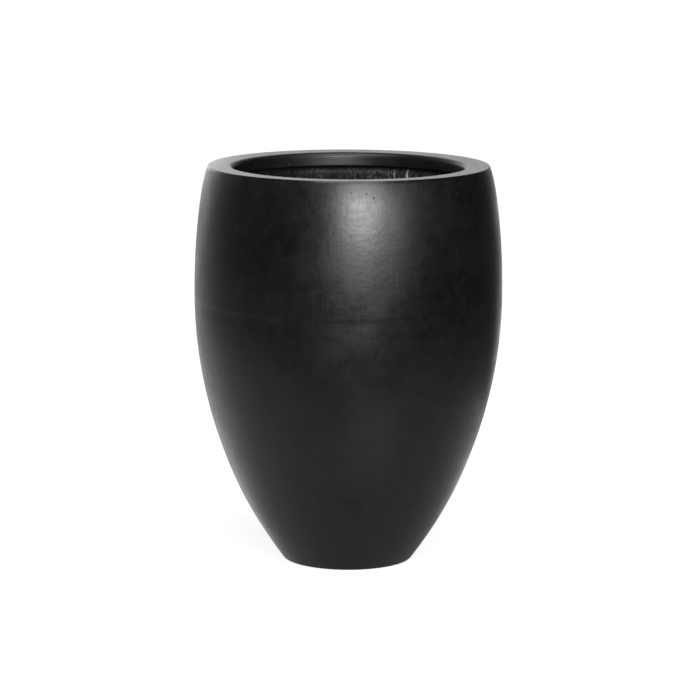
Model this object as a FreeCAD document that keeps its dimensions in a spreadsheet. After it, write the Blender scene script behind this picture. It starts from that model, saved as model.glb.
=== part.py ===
import FreeCAD, Part
import Sketcher
import math
import os

# A fibre-stone floor planter. The pot stands on z = 0 and its axis is Z. All sizes are millimetres.
drivingSizes = {
    # Outer wall: two arcs that meet, upright, at the belly, which swells past the rim
    "potHeight": "600",
    "crownHeight": "193",
    "footRadius": "97",
    "rimRadius": "213",
    "bellySwell": "19",
    "footRound": "2.5",
    # Stone-resin skin, the half laps that join its mouldings, and the resin between the bonded pieces
    "skinThickness": "4",
    "jointDrop": "12",
    "bellyLap": "12",
    "rimLap": "8",
    "bondLine": "0.3",
    # Rim, which falls a little to the inside, and the lip that turns down inside the mouth
    "rimWidth": "40",
    "rimThickness": "9",
    "rimFall": "1.1",
    "lipDrop": "21.5",
    "lipThickness": "6",
    "rimOuterRound": "4",
    "rimInnerRound": "10",
    "lipEdgeRound": "1.5",
    # Glass-fibre backing, which runs over the rim core and up behind the lip
    "laminateThickness": "5",
    "shoulderDrop": "40",
    "toeDrop": "100",
    "bendRound": "30",
    "tapeWidth": "76",
    "tapeThickness": "2",
    # Base, floor and drain
    "baseThickness": "14",
    "standingWidth": "23",
    "recessDepth": "5",
    "recessRound": "2",
    "floorThickness": "4",
    "coveHeight": "40",
    "coveRound": "14",
    "drainRadius": "13",
    # Rubber drain plug
    "plugClearance": "0.3",
    "plugTaper": "1.2",
    "plugTipRound": "1",
    "plugWall": "3.5",
    "hollowDepth": "7",
    "flangeOverlap": "8",
    "flangeThickness": "3.5",
    "flangeRound": "1.2",
    "gripNeckRadius": "5",
    "gripHeadRadius": "8",
    "gripNeckHeight": "5",
    "gripHeadHeight": "6",
    "gripRound": "2",
}

doc = FreeCAD.newDocument("Planter")
sheet = doc.addObject("Spreadsheet::Sheet", "Sizes")
for row, (sizeName, number) in enumerate(drivingSizes.items(), start=1):
    sheet.set(f"A{row}", sizeName)
    sheet.set(f"B{row}", number)
    sheet.setAlias(f"B{row}", sizeName)
doc.recompute()


def valueOf(expression):
    return float(sheet.evalExpression(expression))


# Radius of the arc that rises from the foot to the belly, and of the one from the belly to the rim
belly = "(Sizes.potHeight - Sizes.crownHeight)"
bellyRadius = "(Sizes.rimRadius + Sizes.bellySwell)"
footFlare = f"({bellyRadius} - Sizes.footRadius)"
lowerArc = f"(({belly}^2 + {footFlare}^2) / (2 * {footFlare}))"
upperArc = "((Sizes.crownHeight^2 + Sizes.bellySwell^2) / (2 * Sizes.bellySwell))"

# Depths below the outer face of the wall
outerFace = "0"
lapFace = "(Sizes.skinThickness / 2)"
tongueFace = f"({lapFace} + Sizes.bondLine)"
skinBack = "Sizes.skinThickness"
laminateBack = f"({skinBack} + Sizes.bondLine)"
laminateFace = f"({laminateBack} + Sizes.laminateThickness)"
overlayBack = f"({laminateFace} + Sizes.bondLine)"
tapeFace = f"({overlayBack} + Sizes.tapeThickness)"
upturnFace = f"({overlayBack} + Sizes.floorThickness)"

# Heights above the ground
ground = "0"
rimTop = "Sizes.potHeight"
rimInside = "(Sizes.potHeight - Sizes.rimFall)"
joint = f"({belly} - Sizes.jointDrop)"
lapFoot = f"({joint} - Sizes.bellyLap)"
rimUnderside = "(Sizes.potHeight - Sizes.rimThickness)"
rimLapFoot = f"({rimUnderside} - Sizes.rimLap)"
lipEdge = "(Sizes.potHeight - Sizes.lipDrop)"
shoulder = "(Sizes.potHeight - Sizes.shoulderDrop)"
coreToe = "(Sizes.potHeight - Sizes.toeDrop)"
laminateBend = f"({coreToe} - Sizes.bondLine)"
tapeFoot = f"({lapFoot} - Sizes.tapeWidth / 2)"
tapeHead = f"({lapFoot} + Sizes.tapeWidth / 2)"
baseTop = "Sizes.baseThickness"
recessTop = "Sizes.recessDepth"
floorTop = "(Sizes.baseThickness + Sizes.floorThickness)"
upturnHead = f"({floorTop} + Sizes.coveHeight)"

# Radii of the mouth and of the drain
lipFace = "(Sizes.rimRadius - Sizes.rimWidth)"
lipBack = f"({lipFace} + Sizes.lipThickness)"
fibreFace = f"({lipBack} + Sizes.bondLine)"
fibreBack = f"({fibreFace} + Sizes.laminateThickness)"
coreFace = f"({fibreBack} + Sizes.bondLine)"
drainWall = "Sizes.drainRadius"

# The straight edges of an outline have no radius
straight = None


def wallArc(height):
    return lowerArc if valueOf(height) < valueOf(belly) else upperArc


def wallRadius(depth, height):
    # Distance from the axis to the surface that lies a depth below the outer face
    arc = wallArc(height)
    return f"({bellyRadius} - {arc} + sqrt(({arc} - {depth})^2 - ({height} - {belly})^2))"


def corner(radius, height):
    return (radius, height, straight)


def alongWall(depth, start, end):
    # Corners of a surface of the wall from one height to another, with one where its arcs meet at the belly
    below, above = sorted((valueOf(start), valueOf(end)))
    stops = [start, belly, end] if below < valueOf(belly) < above else [start, end]
    corners = []
    for height, following in zip(stops, stops[1:]):
        arc = lowerArc if valueOf(height) + valueOf(following) < 2 * valueOf(belly) else upperArc
        corners.append((wallRadius(depth, height), height, f"{arc} - {depth}"))
    return corners + [corner(wallRadius(depth, end), end)]


def arcBetween(start, end, radius):
    # The arc from start to end that bulges away from the pot's axis, listed anticlockwise
    low, high = sorted((start, end), key=lambda corner: corner.y)
    chord = high - low
    middle = (low + high) * 0.5
    reach = math.sqrt(radius**2 - (chord.Length / 2) ** 2)
    inward = FreeCAD.Vector(-chord.y, chord.x, 0).normalize()
    centre = middle + inward * reach
    lowAngle = math.atan2(low.y - centre.y, low.x - centre.x)
    highAngle = math.atan2(high.y - centre.y, high.x - centre.x)
    circle = Part.Circle(centre, FreeCAD.Vector(0, 0, 1), radius)
    return Part.ArcOfCircle(circle, lowAngle, highAngle)


def holdCorner(sketch, edge, end, kind, axis, expression):
    if expression == "0":
        sketch.addConstraint(Sketcher.Constraint("PointOnObject", edge, end, axis))
        return
    distance = Sketcher.Constraint(kind, -1, 1, edge, end, valueOf(expression))
    index = sketch.addConstraint(distance)
    sketch.setExpression(f"Constraints[{index}]", expression)


def revolved(label, outline):
    # A body of revolution. Each corner of its outline is (radius, height, curve of the edge that leaves it)
    body = doc.addObject("PartDesign::Body", label)
    body.Label = label
    sketch = body.newObject("Sketcher::SketchObject", f"{label}_outline")
    upright = next(f for f in body.Origin.OriginFeatures if f.Role == "XZ_Plane")
    sketch.AttachmentSupport = (upright, [""])
    sketch.MapMode = "FlatFace"
    corners = [FreeCAD.Vector(valueOf(radius), valueOf(height), 0) for radius, height, _ in outline]
    ends = []
    for edge, (radius, height, curve) in enumerate(outline):
        start = corners[edge]
        end = corners[(edge + 1) % len(outline)]
        if curve is straight:
            sketch.addGeometry(Part.LineSegment(start, end), False)
            ends.append((1, 2))
            continue
        sketch.addGeometry(arcBetween(start, end, valueOf(curve)), False)
        ends.append((1, 2) if end.y > start.y else (2, 1))
    for edge, (radius, height, curve) in enumerate(outline):
        following = (edge + 1) % len(outline)
        joined = Sketcher.Constraint("Coincident", edge, ends[edge][1], following, ends[following][0])
        sketch.addConstraint(joined)
        holdCorner(sketch, edge, ends[edge][0], "DistanceX", -2, radius)
        holdCorner(sketch, edge, ends[edge][0], "DistanceY", -1, height)
        if curve is not straight:
            index = sketch.addConstraint(Sketcher.Constraint("Radius", edge, valueOf(curve)))
            sketch.setExpression(f"Constraints[{index}]", curve)
    doc.recompute()
    turn = body.newObject("PartDesign::Revolution", f"{label}_turn")
    turn.Profile = sketch
    turn.ReferenceAxis = (sketch, ["V_Axis"])
    turn.Angle = 360
    doc.recompute()
    return body


def ringEdge(shape, radius, height):
    # Name of the circular edge nearest to a radius and a height
    def miss(edge):
        circle = edge.Curve
        return math.hypot(circle.Radius - radius, circle.Center.z - height)

    rings = [
        (miss(edge), f"Edge{number}")
        for number, edge in enumerate(shape.Edges, start=1)
        if isinstance(edge.Curve, Part.Circle) and abs(edge.Curve.Axis.z) > 0.5
    ]
    return min(rings)[1]


def rounded(body, name, size, *rings):
    # Rounds the circular edges at each (radius, height) of a body to one of the named sizes
    base = body.Tip
    edges = [ringEdge(base.Shape, valueOf(radius), valueOf(height)) for radius, height in rings]
    fillet = body.newObject("PartDesign::Fillet", name)
    fillet.Base = (base, edges)
    fillet.setExpression("Radius", size)
    doc.recompute()


# Lower shell: the skin from the foot to the belly joint, with the outer half of the lap on top
lowerShell = revolved(
    "lower_shell",
    [
        *alongWall(outerFace, ground, joint),
        *alongWall(lapFace, joint, lapFoot),
        *alongWall(skinBack, lapFoot, ground),
    ],
)
rounded(lowerShell, "foot_round", "Sizes.footRound", (wallRadius(outerFace, ground), ground))

# Upper shell: the skin from the belly joint to the rim, with the inner half of the lap below it
revolved(
    "upper_shell",
    [
        *alongWall(outerFace, joint, rimUnderside),
        *alongWall(lapFace, rimUnderside, rimLapFoot),
        *alongWall(skinBack, rimLapFoot, lapFoot),
        *alongWall(tongueFace, lapFoot, joint),
    ],
)

# Rim ring: broad rim, lip turned down inside the mouth, and a tongue that laps behind the upper shell
rimRing = revolved(
    "rim_ring",
    [
        *alongWall(outerFace, rimUnderside, rimTop),
        corner(lipFace, rimInside),
        corner(lipFace, lipEdge),
        corner(lipBack, lipEdge),
        corner(lipBack, rimUnderside),
        *alongWall(skinBack, rimUnderside, rimLapFoot),
        *alongWall(tongueFace, rimLapFoot, rimUnderside),
    ],
)
rounded(rimRing, "rim_outer_round", "Sizes.rimOuterRound", ("Sizes.rimRadius", rimTop))
rounded(rimRing, "rim_inner_round", "Sizes.rimInnerRound", (lipFace, rimInside))
rounded(rimRing, "lip_edge_round", "Sizes.lipEdgeRound", (lipFace, lipEdge))

# Rim core: the packing behind the lip, which thins out down the wall
revolved(
    "rim_core",
    [
        corner(coreFace, rimUnderside),
        corner(coreFace, shoulder),
        *alongWall(laminateBack, coreToe, rimUnderside),
    ],
)

# Upper laminate: fibre from the belly joint up over the rim core, ending behind the lip
upperLaminate = revolved(
    "upper_laminate",
    [
        *alongWall(laminateBack, lapFoot, laminateBend),
        corner(fibreBack, shoulder),
        corner(fibreBack, rimUnderside),
        corner(fibreFace, rimUnderside),
        corner(fibreFace, shoulder),
        *alongWall(laminateFace, laminateBend, lapFoot),
    ],
)
laminateBends = ((fibreFace, shoulder), (wallRadius(laminateFace, laminateBend), laminateBend))
rounded(upperLaminate, "bend_round", "Sizes.bendRound", *laminateBends)

# Lower laminate: fibre behind the lower shell, standing on the base plate
revolved(
    "lower_laminate",
    [
        *alongWall(laminateBack, baseTop, lapFoot),
        *alongWall(laminateFace, lapFoot, baseTop),
    ],
)

# Seam tape: the band of fibre that ties the two laminates together inside the belly joint
revolved(
    "seam_tape",
    [
        *alongWall(overlayBack, tapeFoot, tapeHead),
        *alongWall(tapeFace, tapeHead, tapeFoot),
    ],
)

# Base plate: the cast base inside the foot, with its standing ring, recess and drain hole
recessWall = f"({wallRadius(laminateBack, ground)} - Sizes.standingWidth)"
basePlate = revolved(
    "base_plate",
    [
        corner(recessWall, ground),
        *alongWall(laminateBack, ground, baseTop),
        corner(drainWall, baseTop),
        corner(drainWall, recessTop),
        corner(recessWall, recessTop),
    ],
)
rounded(basePlate, "recess_round", "Sizes.recessRound", (recessWall, ground))

# Floor laminate: fibre over the base plate, turned up the wall
floorLaminate = revolved(
    "floor_laminate",
    [
        corner(drainWall, baseTop),
        *alongWall(overlayBack, baseTop, upturnHead),
        *alongWall(upturnFace, upturnHead, floorTop),
        corner(drainWall, floorTop),
    ],
)
rounded(floorLaminate, "cove_round", "Sizes.coveRound", (wallRadius(upturnFace, floorTop), floorTop))

# Drain plug, drawn from the tip of its tapered, hollow stem up to the grip on its flange
stemRoot = f"({drainWall} - Sizes.plugClearance)"
stemTip = f"({stemRoot} - Sizes.plugTaper)"
hollowWall = f"({stemTip} - Sizes.plugWall)"
flangeRim = f"({drainWall} + Sizes.flangeOverlap)"
stemTop = f"({floorTop} - {recessTop})"
flangeTop = f"({stemTop} + Sizes.flangeThickness)"
neckTop = f"({flangeTop} + Sizes.gripNeckHeight)"
gripTop = f"({neckTop} + Sizes.gripHeadHeight)"
plugAxis = "0"
drainPlug = revolved(
    "drain_plug",
    [
        corner(hollowWall, ground),
        corner(stemTip, ground),
        corner(stemRoot, stemTop),
        corner(flangeRim, stemTop),
        corner(flangeRim, flangeTop),
        corner("Sizes.gripNeckRadius", flangeTop),
        corner("Sizes.gripNeckRadius", neckTop),
        corner("Sizes.gripHeadRadius", neckTop),
        corner("Sizes.gripHeadRadius", gripTop),
        corner(plugAxis, gripTop),
        corner(plugAxis, "Sizes.hollowDepth"),
        corner(hollowWall, "Sizes.hollowDepth"),
    ],
)
rounded(drainPlug, "stem_tip_round", "Sizes.plugTipRound", (stemTip, ground))
rounded(drainPlug, "flange_round", "Sizes.flangeRound", (flangeRim, flangeTop))
gripEdges = (("Sizes.gripHeadRadius", neckTop), ("Sizes.gripHeadRadius", gripTop))
rounded(drainPlug, "grip_round", "Sizes.gripRound", *gripEdges)
drainPlug.setExpression("Placement.Base.z", f"{recessTop} + Sizes.plugClearance")
doc.recompute()

bodies = [item for item in doc.Objects if item.isDerivedFrom("PartDesign::Body")]
for item in doc.Objects:
    if {"Invalid", "Error"} & set(item.State):
        raise RuntimeError(f"{item.Label} did not build")
for item in doc.Objects:
    if item.isDerivedFrom("Sketcher::SketchObject") and not item.FullyConstrained:
        raise RuntimeError(f"{item.Label} is not fully constrained")
for body in bodies:
    if body.Shape.isNull() or not body.Shape.isValid() or len(body.Shape.Solids) != 1:
        raise RuntimeError(f"{body.Label} is not one valid solid")

os.makedirs("parts", exist_ok=True)
for body in bodies:
    body.Shape.exportStep(f"parts/{body.Label}.step")
    box = body.Shape.BoundBox
    print(f"{body.Label}: across {box.XLength:.1f}, z {box.ZMin:.1f} to {box.ZMax:.1f}")
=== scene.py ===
import math

import bmesh
import bpy
from mathutils import Matrix, Vector, noise


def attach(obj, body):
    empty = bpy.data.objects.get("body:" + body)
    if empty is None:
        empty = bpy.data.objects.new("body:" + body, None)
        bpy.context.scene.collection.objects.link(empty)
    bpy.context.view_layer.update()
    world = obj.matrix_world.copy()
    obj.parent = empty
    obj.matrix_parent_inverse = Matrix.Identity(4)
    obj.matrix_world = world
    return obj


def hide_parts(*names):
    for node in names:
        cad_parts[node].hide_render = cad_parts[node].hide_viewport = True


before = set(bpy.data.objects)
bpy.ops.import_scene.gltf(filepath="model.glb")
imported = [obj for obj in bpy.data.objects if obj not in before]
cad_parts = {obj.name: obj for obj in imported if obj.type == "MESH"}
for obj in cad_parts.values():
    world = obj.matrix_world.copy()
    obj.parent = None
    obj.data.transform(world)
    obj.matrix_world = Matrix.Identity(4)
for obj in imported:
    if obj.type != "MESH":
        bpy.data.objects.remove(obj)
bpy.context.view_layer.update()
scene = bpy.context.scene
mm = 0.001

# Outline tools. An outline lies in the XZ plane and is turned about Z.
# The wall is two arcs that meet, upright, at the belly.
wall = {
    "bellyHeight": 407 * mm, "bellyRadius": 232 * mm, "rimRadius": 213 * mm,
    "footRadius": 97 * mm, "height": 600 * mm,
    "outer": 0.1 * mm,  # the painted face, a hair inside the CAD's facets
    "faceDepth": 1.6 * mm,  # every corner less deep than this is on that face
    "skinBack": 4 * mm, "lap": 2 * mm, "tongue": 2.3 * mm, "joint": 395 * mm,
    "lapFoot": 383 * mm, "rimUnderside": 591 * mm, "rimLapFoot": 583 * mm,
    "laminateBack": 4.3 * mm, "laminateFace": 9.3 * mm, "overlayBack": 9.6 * mm,
    "cornerWear": 0.7 * mm, "cornerReach": 1.0 * mm,
    "shoulder": 560 * mm, "shoulderSwell": 0.9 * mm,
    "shoulderFall": 2.6 * mm,  # from the shoulder to the rim
    "footSwell": 0.8 * mm, "footSwellTop": 190 * mm,
}


def arcThrough(rise, swell):
    return (rise**2 + swell**2) / (2 * swell)


lowerArc = arcThrough(wall["bellyHeight"], wall["bellyRadius"] - wall["footRadius"])
upperArc = arcThrough(wall["height"] - wall["bellyHeight"], wall["bellyRadius"] - wall["rimRadius"])


def wallArc(height):
    return lowerArc if height < wall["bellyHeight"] else upperArc


def wallRadius(depth, height):
    arc = wallArc(height)
    reach = arc - depth
    return wall["bellyRadius"] - arc + math.sqrt(reach**2 - (height - wall["bellyHeight"]) ** 2)


def startAt(radius, height):
    outline = bmesh.new()
    return outline, outline.verts.new((radius, 0, height))


def startOnWall(depth, height):
    return startAt(wallRadius(depth, height), height)


def lineTo(outline, corner, radius, height):
    following = bmesh.ops.extrude_vert_indiv(outline, verts=[corner])["verts"][0]
    following.co = (radius, 0, height)
    return following


def through(outline, corner, *points):
    # Lines through points, each a radius and a height; gives their corners
    corners = []
    for radius, height in points:
        corner = lineTo(outline, corner, radius, height)
        corners.append(corner)
    return corners


def lineToWall(outline, corner, depth, height):
    return lineTo(outline, corner, wallRadius(depth, height), height)


def alongWall(outline, corner, depth, height, step):
    # Spins the corner along the wall's arcs, at its depth below the outer face, to a height
    belly = wall["bellyHeight"]
    crosses = (corner.co.z - belly) * (height - belly) < 0
    for stop in [belly, height] if crosses else [height]:
        arc = wallArc((corner.co.z + stop) / 2)
        reach = arc - depth
        angle = math.asin((stop - belly) / reach) - math.asin((corner.co.z - belly) / reach)
        steps = max(1, round(abs(angle) * reach / step))
        centre = (wall["bellyRadius"] - arc, 0, belly)
        spun = bmesh.ops.spin(outline, geom=[corner], cent=centre, axis=(0, -1, 0), angle=angle,
                              steps=steps, use_merge=False, use_duplicate=False)
        corner = spun["geom_last"][0]
    return corner


def follow(outline, corner, *stops):
    # Each stop is a depth and a height, reached straight, or along the wall where it has a step
    for depth, height, *step in stops:
        go = alongWall if step else lineToWall
        corner = go(outline, corner, depth, height, *step)
    return corner


def roundCorners(outline, corners, size, segments):
    bmesh.ops.bevel(outline, geom=corners, offset=size, offset_type="OFFSET", segments=segments,
                    profile=0.5, affect="VERTICES", material=-1)


def refine(outline, edges, step, slack=0.01):
    # Cuts each edge that is longer than a step
    for edge in edges:
        cuts = math.ceil(edge.calc_length() / step - slack) - 1
        if cuts > 0:
            bmesh.ops.subdivide_edges(outline, edges=[edge], cuts=cuts)


def turnOutline(outline, steps, doublings=5, weld=0.001 * mm):
    # Doubles a sector of the turn until it closes, which is quicker than one full spin
    sector = 2 * math.pi / 2**doublings
    bmesh.ops.spin(outline, geom=outline.verts[:] + outline.edges[:], cent=(0, 0, 0),
                   axis=(0, 0, 1), angle=sector, steps=steps // 2**doublings, use_merge=False,
                   use_duplicate=False)
    for doubling in range(doublings):
        everything = outline.verts[:] + outline.edges[:] + outline.faces[:]
        copied = bmesh.ops.duplicate(outline, geom=everything)
        turned = [item for item in copied["geom"] if isinstance(item, bmesh.types.BMVert)]
        bmesh.ops.rotate(outline, verts=turned, cent=(0, 0, 0),
                         matrix=Matrix.Rotation(sector * 2**doubling, 3, "Z"))
        bmesh.ops.remove_doubles(outline, verts=outline.verts, dist=weld)
    bmesh.ops.recalc_face_normals(outline, faces=outline.faces)
    outline.normal_update()


def softEdge(height):
    # How far the wall's top edge is worn back
    return wall["cornerWear"] * math.exp((height - wall["height"]) / wall["cornerReach"])


def alongShoulder(outline, corner, stops):
    # Follows the worn outer face through the stops, which are heights in mm
    for height in [stop * mm for stop in stops]:
        radius = wallRadius(wall["outer"], height) - softEdge(height)
        corner = lineTo(outline, corner, radius, height)
    return corner


def fullness(height):
    # How far the moulded face stands out from its arc: fuller above the foot and at the shoulder
    belly, shoulder = wall["bellyHeight"], wall["shoulder"]
    if height < wall["footSwellTop"]:
        return wall["footSwell"] * math.sin(math.pi * height / wall["footSwellTop"]) ** 2
    rise = min(1, max(0, (height - belly) / (shoulder - belly)))
    fall = max(0, (height - shoulder) / (wall["height"] - shoulder)) ** 2
    swell = wall["shoulderSwell"] * (1 - math.cos(math.pi * rise)) / 2
    return swell - wall["shoulderFall"] * fall


def fillOut(outline):
    for vert in outline.verts:
        if vert.co.x > wallRadius(wall["faceDepth"], vert.co.z):
            vert.co.x += fullness(vert.co.z)


def facesAxis(vert):
    return vert.normal.x * vert.co.x + vert.normal.y * vert.co.y < 0


def placeShape(name, shape, materials):
    mesh = bpy.data.meshes.new(name)
    shape.to_mesh(mesh)
    shape.free()
    for material in materials:
        mesh.materials.append(material)
    thing = bpy.data.objects.new(name, mesh)
    scene.collection.objects.link(thing)
    return thing


def finishPiece(name, shape, materials, replaced, body="pot", sharpAngle=40):
    piece = placeShape(name, shape, materials)
    mesh = piece.data
    mesh.shade_smooth()
    mesh.set_sharp_from_angle(angle=math.radians(sharpAngle))
    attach(piece, body)
    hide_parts(*replaced)
    print(f"{name}: {sum(len(face.vertices) - 2 for face in mesh.polygons)} triangles")
    return piece


def keepFlatFacesFlat(piece):
    weighted = piece.modifiers.new("faceWeight", "WEIGHTED_NORMAL")
    weighted.keep_sharp = True
    weighted.weight = 80


# Material tools. Values are numbers or sockets, and colours are greys, triples or sockets.
def put(tree, kind, inputs=None, **settings):
    node = tree.nodes.new(kind)
    for setting, value in settings.items():
        setattr(node, setting, value)
    for socket, value in (inputs or {}).items():
        if isinstance(value, bpy.types.NodeSocket):
            tree.links.new(value, node.inputs[socket])
        else:
            node.inputs[socket].default_value = value
    return node


def combine(tree, operation, first, second=0.0):
    return put(tree, "ShaderNodeMath", {0: first, 1: second}, operation=operation).outputs[0]


def plus(tree, first, second):
    return combine(tree, "ADD", first, second)


def times(tree, first, second):
    return combine(tree, "MULTIPLY", first, second)


def oneMinus(tree, value):
    return combine(tree, "SUBTRACT", 1.0, value)


def joined(tree, operation, values):
    total = values[0]
    for value in values[1:]:
        total = combine(tree, operation, total, value)
    return total


def weighed(tree, *shares):
    return joined(tree, "ADD", [times(tree, value, weight) for value, weight in shares])


def mapRange(tree, value, low, high, toLow=0.0, toHigh=1.0, kind="LINEAR"):
    inputs = {"Value": value, "From Min": low, "From Max": high, "To Min": toLow, "To Max": toHigh}
    node = put(tree, "ShaderNodeMapRange", inputs, interpolation_type=kind, clamp=True)
    return node.outputs["Result"]


def eased(tree, value, low, high, toLow=0.0, toHigh=1.0):
    return mapRange(tree, value, low, high, toLow, toHigh, "SMOOTHSTEP")


def wander(tree, pattern, amount, middle=0.0):
    # A noise pattern, which lies mostly between 0.3 and 0.7, spread about a middle value
    return mapRange(tree, pattern, 0.3, 0.7, middle - amount, middle + amount)


def mixed(tree, share, first, second, blend="MIX"):
    inputs = {"Fac": share}
    for label, colour in (("Color1", first), ("Color2", second)):
        colour = (colour,) * 3 if isinstance(colour, float) else colour
        inputs[label] = (*colour, 1) if isinstance(colour, tuple) else colour
    return put(tree, "ShaderNodeMixRGB", inputs, blend_type=blend).outputs[0]


def axesOf(tree, vector):
    return put(tree, "ShaderNodeSeparateXYZ", {0: vector}).outputs


def placed(tree, vector, **settings):
    inputs = {"Vector": vector}
    inputs.update({label.capitalize(): value for label, value in settings.items()})
    return put(tree, "ShaderNodeMapping", inputs).outputs["Vector"]


def noiseNode(tree, vector, scale, detail=2.0, roughness=0.5, distortion=0.0):
    inputs = {"Vector": vector, "Scale": scale, "Detail": detail, "Roughness": roughness,
              "Distortion": distortion}
    return put(tree, "ShaderNodeTexNoise", inputs).outputs


def noiseAt(tree, vector, scale, **settings):
    return noiseNode(tree, vector, scale, **settings)["Fac"]


def bent(tree, vector, source, scale, detail, amount):
    # The vector, pushed about by a soft noise
    push = noiseNode(tree, source, scale, detail=detail)["Color"]
    return mixed(tree, amount, vector, push, "ADD")


def scattered(tree, vector, scale, size, share):
    # Small round spots in a share of the cells of a grid
    cells = put(tree, "ShaderNodeTexVoronoi", {"Vector": vector, "Scale": scale}).outputs
    spot = eased(tree, cells["Distance"], size / 2, size, 1.0, 0.0)
    pick = put(tree, "ShaderNodeSeparateColor", {0: cells["Color"]}).outputs[0]
    return times(tree, spot, combine(tree, "GREATER_THAN", pick, 1 - share))


def bumped(tree, heights):
    # Stacks bumps: (height, strength, distance in metres)
    normal = None
    for height, strength, distance in heights:
        inputs = {"Height": height, "Strength": strength, "Distance": distance}
        if normal is not None:
            inputs["Normal"] = normal
        normal = put(tree, "ShaderNodeBump", inputs).outputs[0]
    return normal


def makeGroup(name, numbers, build):
    # A group with a Vector input, an input for each number and an output for each built value
    tree = bpy.data.node_groups.new(name, "ShaderNodeTree")
    tree.interface.new_socket(name="Vector", in_out="INPUT", socket_type="NodeSocketVector")
    kind = "NodeSocketFloat"
    for label, value in numbers.items():
        socket = tree.interface.new_socket(name=label, in_out="INPUT", socket_type=kind)
        socket.default_value = value
    values = build(tree, put(tree, "NodeGroupInput").outputs)
    for label in values:
        tree.interface.new_socket(name=label, in_out="OUTPUT", socket_type=kind)
    put(tree, "NodeGroupOutput", values)
    return tree


def useGroup(tree, group, inputs):
    return put(tree, "ShaderNodeGroup", inputs, node_tree=group).outputs


def emptyMaterial(name):
    material = bpy.data.materials.new(name)
    material.use_nodes = True
    material.node_tree.nodes.clear()
    return material, material.node_tree


def newMaterial(name, specular):
    material, tree = emptyMaterial(name)
    shader = put(tree, "ShaderNodeBsdfPrincipled", {"Specular IOR Level": specular})
    put(tree, "ShaderNodeOutputMaterial", {"Surface": shader.outputs[0]})
    where = put(tree, "ShaderNodeTexCoord").outputs["Object"]
    return material, tree, shader.inputs, where


def dress(tree, shader, colour, rough, heights):
    tree.links.new(colour, shader["Base Color"])
    tree.links.new(rough, shader["Roughness"])
    tree.links.new(bumped(tree, heights), shader["Normal"])


# Patterns. Scales are per metre.
speckCells = {"size": 0.055, "share": 0.22}
pinholeCells = {"size": 0.07, "share": 0.3}


def buildStoneGrain(tree, entry):
    # Stone powder in resin: clouds, mottling, fine grain, upright sanding marks, specks, pinholes
    where = entry["Vector"]
    soft = bent(tree, where, where, 35.0, 2.0, 0.02)
    upright = placed(tree, where, scale=(1.0, 1.0, 0.07))
    shifted = placed(tree, where, location=(0.37, 0.11, 0.73))
    return {
        "Cloud": noiseAt(tree, where, 9.0, detail=3.0, roughness=0.55),
        "Mottle": noiseAt(tree, soft, entry["Mottle Scale"]),
        "Ripple": noiseAt(tree, placed(tree, soft, scale=(0.7, 0.7, 1.0)), 150.0),
        "Grain": noiseAt(tree, where, entry["Grain Scale"], detail=3.0, roughness=0.6),
        "Streak": noiseAt(tree, upright, entry["Streak Scale"], detail=3.0, roughness=0.6),
        "Speck": scattered(tree, soft, entry["Spot Scale"], **speckCells),
        "Pinhole": scattered(tree, shifted, entry["Spot Scale"], **pinholeCells),
    }


strandAngles = (12, 47, 83, 118, 152, 171)


def buildFibreMat(tree, entry):
    # Chopped glass strands that lie at all angles on the wall, under a skin of resin
    where = entry["Vector"]
    axes = axesOf(tree, where)
    turn = combine(tree, "ARCTAN2", axes[1], axes[0])
    around = times(tree, turn, 0.2)  # metres round a wall of that radius
    flat = put(tree, "ShaderNodeCombineXYZ", {0: around, 1: axes[2]}).outputs[0]
    flat = bent(tree, flat, where, 14.0, 1.0, 0.012)
    strands = []
    for layer, angle in enumerate(strandAngles):
        lie = axesOf(tree, placed(tree, flat, rotation=(0, 0, math.radians(angle)),
                                  location=(0.31 * layer, 0.17 * layer, 0.5 * layer)))
        along, across = times(tree, lie[0], entry["Along"]), times(tree, lie[1], entry["Across"])
        drawn = put(tree, "ShaderNodeCombineXYZ", {0: along, 1: across, 2: lie[2]}).outputs[0]
        ridge = noiseAt(tree, drawn, 1.0, detail=1.0, roughness=0.4)
        strands.append(mapRange(tree, ridge, 0.56, 0.74))
    hung = placed(tree, where, scale=(1.0, 1.0, 0.12))
    thin = placed(tree, where, scale=(1.0, 1.0, 0.14))
    patches = mapRange(tree, noiseAt(tree, where, 24.0, detail=1.0), 0.42, 0.6)
    blots = mapRange(tree, noiseAt(tree, where, 190.0), 0.52, 0.68)
    runs = mapRange(tree, noiseAt(tree, thin, 230.0), 0.5, 0.7, 0.0, 0.5)
    return {
        "Strand": joined(tree, "MAXIMUM", strands),
        "Lump": noiseAt(tree, where, 85.0, detail=5.0, roughness=0.65, distortion=0.6),
        "Run": noiseAt(tree, hung, 75.0, detail=3.0, roughness=0.55),
        "Blot": combine(tree, "MINIMUM", plus(tree, times(tree, blots, patches), runs), 1.0),
    }


def buildTapeWeave(tree, entry):
    # Plain weave of glass rovings: one set round the pot, one set upright
    where = entry["Vector"]
    axes = axesOf(tree, where)
    turn = combine(tree, "ARCTAN2", axes[1], axes[0])
    around = times(tree, turn, 0.22)  # metres round a wall of that radius
    around, upward = [combine(tree, "DIVIDE", way, entry["Pitch"]) for way in (around, axes[2])]
    rovings = []
    for value, other in ((around, upward), (upward, around)):
        strand = combine(tree, "ABSOLUTE", combine(tree, "SINE", times(tree, value, math.pi)))
        over = combine(tree, "SINE", times(tree, other, math.pi))
        flip = combine(tree, "PINGPONG", combine(tree, "FLOOR", value), 1.0)
        lift = times(tree, over, mapRange(tree, flip, 0.0, 1.0, -1.0, 1.0))
        rovings.append(times(tree, strand, mapRange(tree, lift, -1.0, 1.0, 0.35, 1.0)))
    return {
        "Weave": joined(tree, "MAXIMUM", rovings),
        "Fuzz": noiseAt(tree, where, 240.0, detail=4.0, roughness=0.65),
    }


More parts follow.
